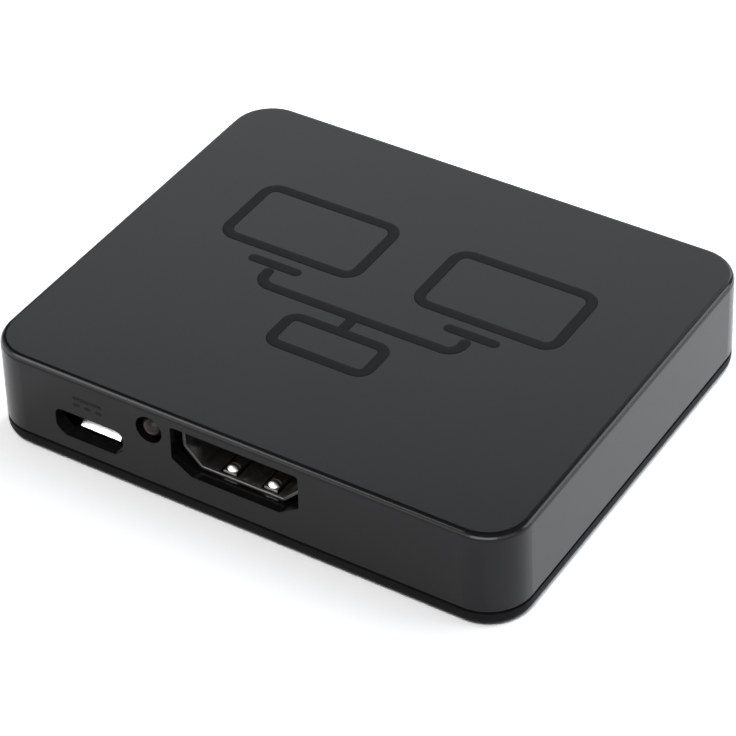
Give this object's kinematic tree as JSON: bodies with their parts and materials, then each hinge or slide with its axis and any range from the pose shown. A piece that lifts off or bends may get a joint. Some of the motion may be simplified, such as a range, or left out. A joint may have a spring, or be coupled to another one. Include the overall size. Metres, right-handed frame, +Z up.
{
  "type": "video signal splitter",
  "caption": "Flat black moulded box that copies one video input to several outputs, with an input socket, power inlet and indicator in front and output sockets at the back.",
  "frame": {"origin": "middle of the underside, on the surface the splitter stands on", "axes": "+X along the long side, to the right seen from the front; +Y from the input face to the output face; +Z up"},
  "size_m": [0.065, 0.054, 0.0122],
  "materials": {
    "casing_plastic": "fine matte black moulding texture",
    "board_laminate": "black solder mask over glass laminate",
    "screw_steel": "zinc-plated",
    "socket_metal": "nickel-plated sheet",
    "socket_insulator": "black moulded resin",
    "contact_plating": "gold-flashed copper alloy",
    "lens_plastic": "dull red clear resin",
    "tinned_metal": "tin-plated",
    "chip_resin": "moulded black epoxy",
    "crystal_steel": "drawn steel can",
    "tantalum_resin": "moulded yellow epoxy",
    "capacitor_ceramic": "fired brown ceramic",
    "resistor_coat": "black glass coat"
  },
  "bodies": {
    "root": {"top_shell": "casing_plastic", "bottom_cover": "casing_plastic", "circuit_board": "board_laminate", "board_screws": "screw_steel", "input_socket_shell": "socket_metal", "output_1_socket_shell": "socket_metal", "output_2_socket_shell": "socket_metal", "power_inlet_shell": "socket_metal", "input_socket_insulator": "socket_insulator", "output_1_socket_insulator": "socket_insulator", "output_2_socket_insulator": "socket_insulator", "power_inlet_insulator": "socket_insulator", "input_socket_contacts": "contact_plating", "output_1_socket_contacts": "contact_plating", "output_2_socket_contacts": "contact_plating", "power_inlet_contacts": "contact_plating", "indicator_lens": "lens_plastic", "indicator_leads": "tinned_metal", "splitter_chip_leads": "tinned_metal", "control_chip_leads": "tinned_metal", "voltage_regulator_leads": "tinned_metal", "crystal_pads": "tinned_metal", "bulk_capacitor_terminals": "tinned_metal", "small_part_end_caps": "tinned_metal", "splitter_chip": "chip_resin", "control_chip": "chip_resin", "voltage_regulator": "chip_resin", "surge_protectors": "chip_resin", "crystal_can": "crystal_steel", "bulk_capacitors": "tantalum_resin", "small_capacitors": "capacitor_ceramic", "resistors": "resistor_coat"}
  },
  "joints": []
}
